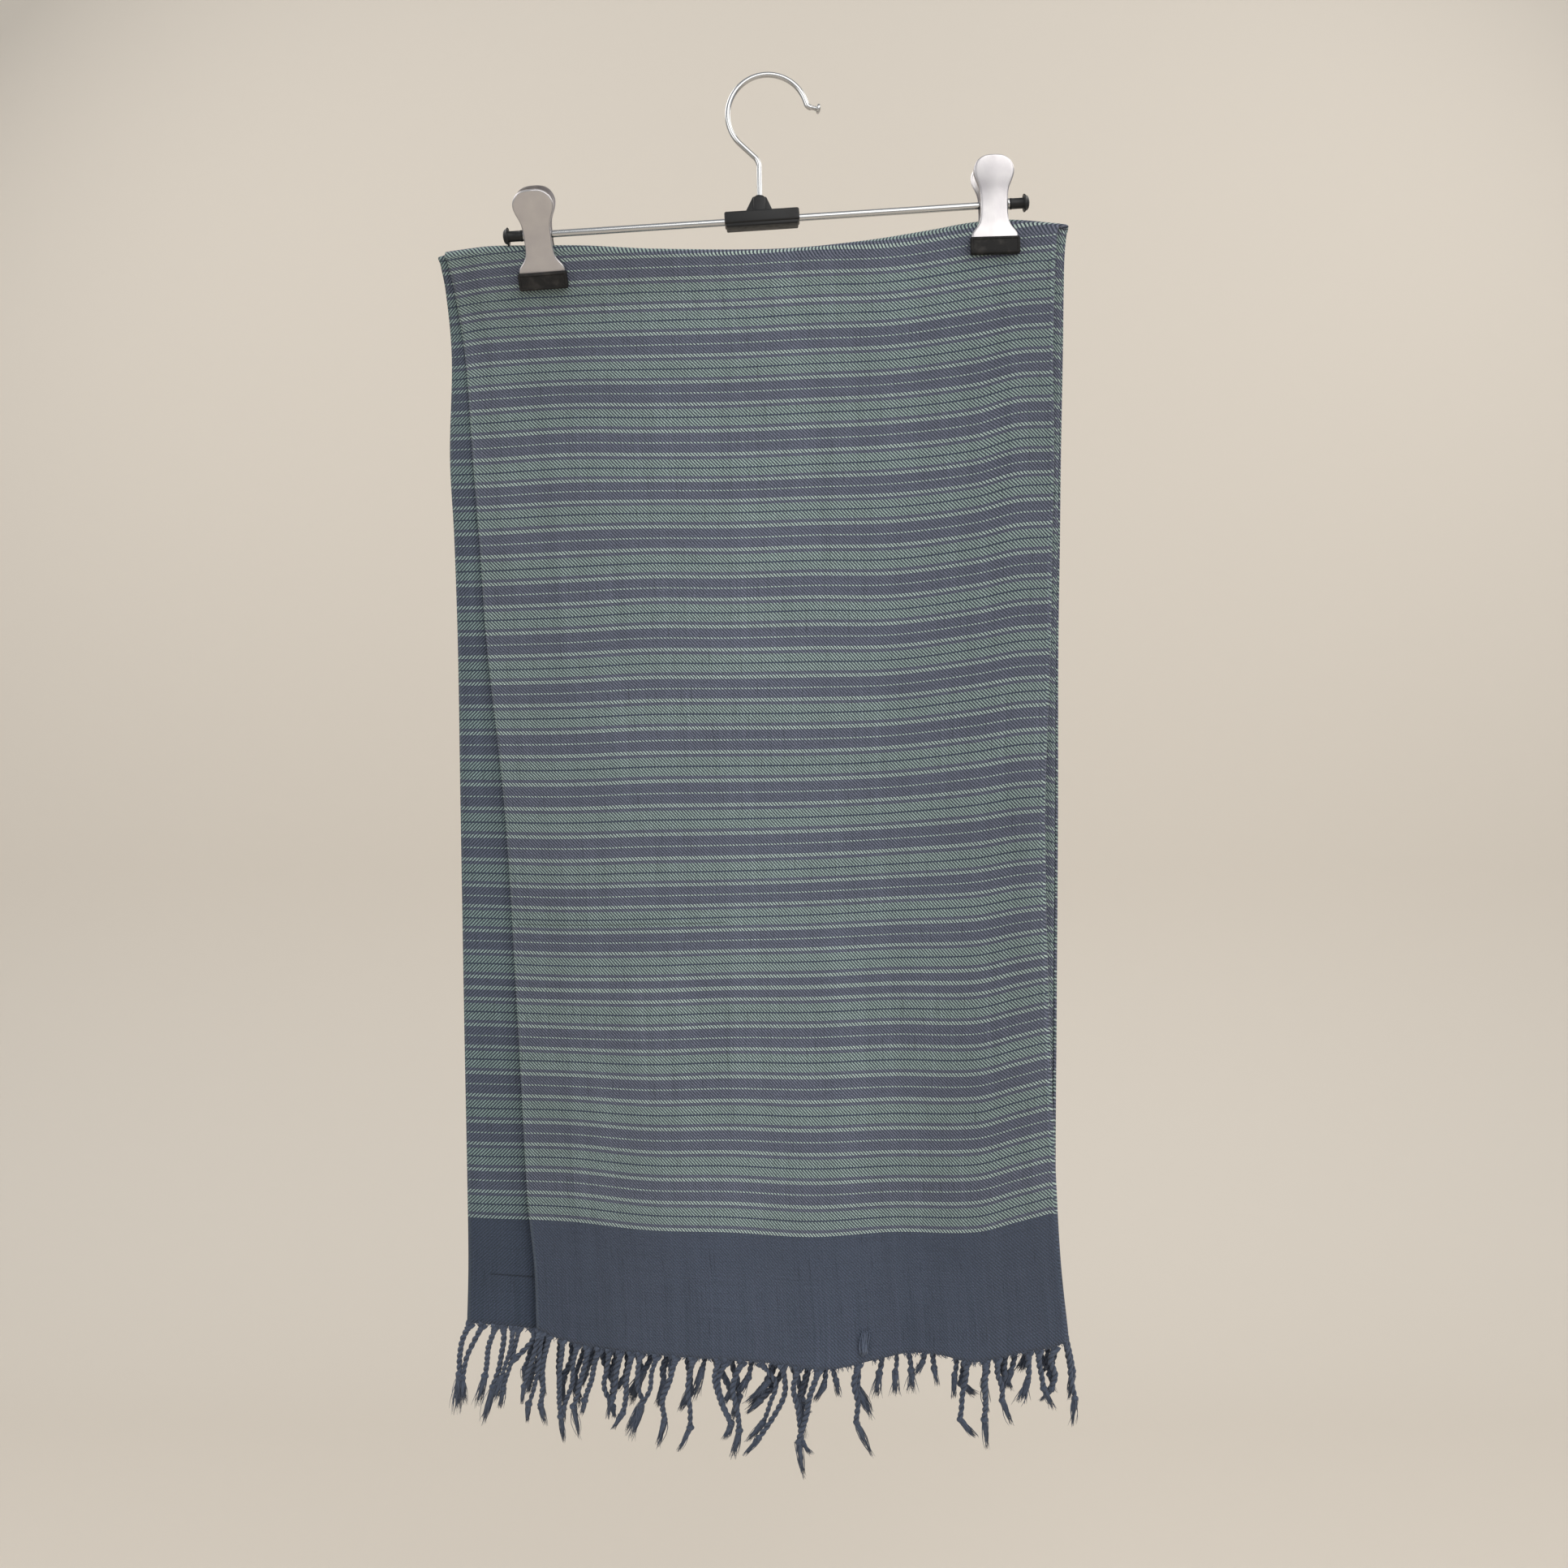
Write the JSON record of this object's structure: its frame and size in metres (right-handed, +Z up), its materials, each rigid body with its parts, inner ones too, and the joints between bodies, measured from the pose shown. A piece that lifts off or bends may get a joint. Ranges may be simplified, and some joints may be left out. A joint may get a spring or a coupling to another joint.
{
  "type": "striped fringed stole on a clip hanger",
  "caption": "Woven striped stole with twisted tassels, folded lengthwise and crosswise, held by spring clips on a wire hanger.",
  "frame": {"origin": "inside top of the hanger's hook, where a rail or a nail carries it", "axes": "+Z up, +X to the right seen from the front, +Y away from the front of the stole"},
  "size_m": [0.3583, 0.0551, 0.7945],
  "materials": {
    "striped_cloth": "handwoven twill, slate blue and sage green stripes",
    "yarn": "twisted slate blue yarn",
    "wire": "bright chromed steel",
    "clip_steel": "satin sheet steel",
    "black_plastic": "black, slightly worn",
    "clip_rubber": "black soft pads"
  },
  "bodies": {
    "root": {"hook": "wire", "centre_block": "black_plastic", "bar": "wire", "cap_left": "black_plastic", "cap_right": "black_plastic", "collar_left": "wire", "collar_right": "wire", "clip_left_front_plate": "clip_steel", "clip_left_rear_plate": "clip_steel", "clip_left_front_pad": "clip_rubber", "clip_left_rear_pad": "clip_rubber", "clip_left_spring": "wire", "clip_right_front_plate": "clip_steel", "clip_right_rear_plate": "clip_steel", "clip_right_front_pad": "clip_rubber", "clip_right_rear_pad": "clip_rubber", "clip_right_spring": "wire", "front_panel": "striped_cloth", "front_under_layer": "striped_cloth", "back_under_layer": "striped_cloth", "back_panel": "striped_cloth", "front_panel_fringe": "yarn", "front_under_layer_fringe": "yarn", "back_under_layer_fringe": "yarn", "back_panel_fringe": "yarn"}
  },
  "joints": []
}
